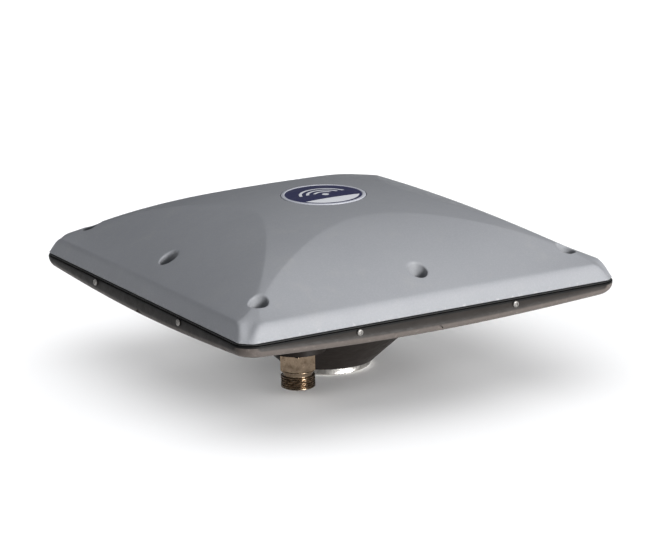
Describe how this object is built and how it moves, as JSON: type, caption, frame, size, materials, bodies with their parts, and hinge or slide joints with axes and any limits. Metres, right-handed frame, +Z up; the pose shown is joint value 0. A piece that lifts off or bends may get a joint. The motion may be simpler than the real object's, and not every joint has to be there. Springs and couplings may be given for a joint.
{
  "type": "survey antenna",
  "caption": "Square low-domed satellite survey antenna with a dark cast base, conical pole-mount hub and a coaxial jack pointing down.",
  "frame": {"origin": "centre of the resting face under the hub", "axes": "+Z up along the hub and the dome; X and Y square to the base's four sides; the coaxial jack lies towards -X and -Y"},
  "size_m": [0.202, 0.202, 0.0829],
  "materials": {
    "radome_plastic": "satin moulded grey plastic, fine grain",
    "badge_print": "printed disc, dark blue field with pale rim",
    "seal_rubber": "matt black",
    "cast_base": "dark semi-gloss coating on a die-cast alloy",
    "bright_steel": "turned, bright",
    "plain_steel": "plain stainless",
    "sheet_aluminium": "mill finish",
    "board_laminate": "green solder mask",
    "copper_foil": "bare copper",
    "tin_plate": "tinned sheet",
    "jack_bronze": "nickel plate worn to bronze, semi-bright",
    "insulator_white": "white fluoropolymer",
    "contact_gold": "gold plate",
    "cable_jacket": "black jacket"
  },
  "bodies": {
    "root": {"amplifier_board": "board_laminate", "amplifier_cover": "tin_plate", "amplifier_screw_1": "plain_steel", "amplifier_screw_2": "plain_steel", "amplifier_screw_3": "plain_steel", "amplifier_screw_4": "plain_steel", "antenna_board": "board_laminate", "badge": "badge_print", "base_housing": "cast_base", "board_screw_1": "plain_steel", "board_screw_2": "plain_steel", "board_screw_3": "plain_steel", "board_screw_4": "plain_steel", "board_spacer_1": "sheet_aluminium", "board_spacer_2": "sheet_aluminium", "board_spacer_3": "sheet_aluminium", "board_spacer_4": "sheet_aluminium", "feed_line": "copper_foil", "ground_plane": "sheet_aluminium", "insert_screw_1": "plain_steel", "insert_screw_2": "plain_steel", "insert_screw_3": "plain_steel", "insert_screw_4": "plain_steel", "jack_body": "jack_bronze", "jack_contact": "contact_gold", "jack_insulator": "insulator_white", "jack_nut": "jack_bronze", "jack_pigtail": "cable_jacket", "jack_seal_ring": "seal_rubber", "jack_washer": "plain_steel", "mount_insert": "bright_steel", "radiator": "copper_foil", "radome": "radome_plastic", "radome_gasket": "seal_rubber", "radome_screw_1": "plain_steel", "radome_screw_2": "plain_steel", "radome_screw_3": "plain_steel", "radome_screw_4": "plain_steel", "radome_screw_5": "plain_steel", "radome_screw_6": "plain_steel", "radome_screw_7": "plain_steel", "radome_screw_8": "plain_steel", "radome_screw_seal_1": "seal_rubber", "radome_screw_seal_2": "seal_rubber", "radome_screw_seal_3": "seal_rubber", "radome_screw_seal_4": "seal_rubber", "radome_screw_seal_5": "seal_rubber", "radome_screw_seal_6": "seal_rubber", "radome_screw_seal_7": "seal_rubber", "radome_screw_seal_8": "seal_rubber", "side_screw_1": "bright_steel", "side_screw_2": "bright_steel", "side_screw_3": "bright_steel", "side_screw_4": "bright_steel", "side_screw_5": "bright_steel", "side_screw_6": "bright_steel", "side_screw_7": "bright_steel", "side_screw_8": "bright_steel"}
  },
  "joints": []
}
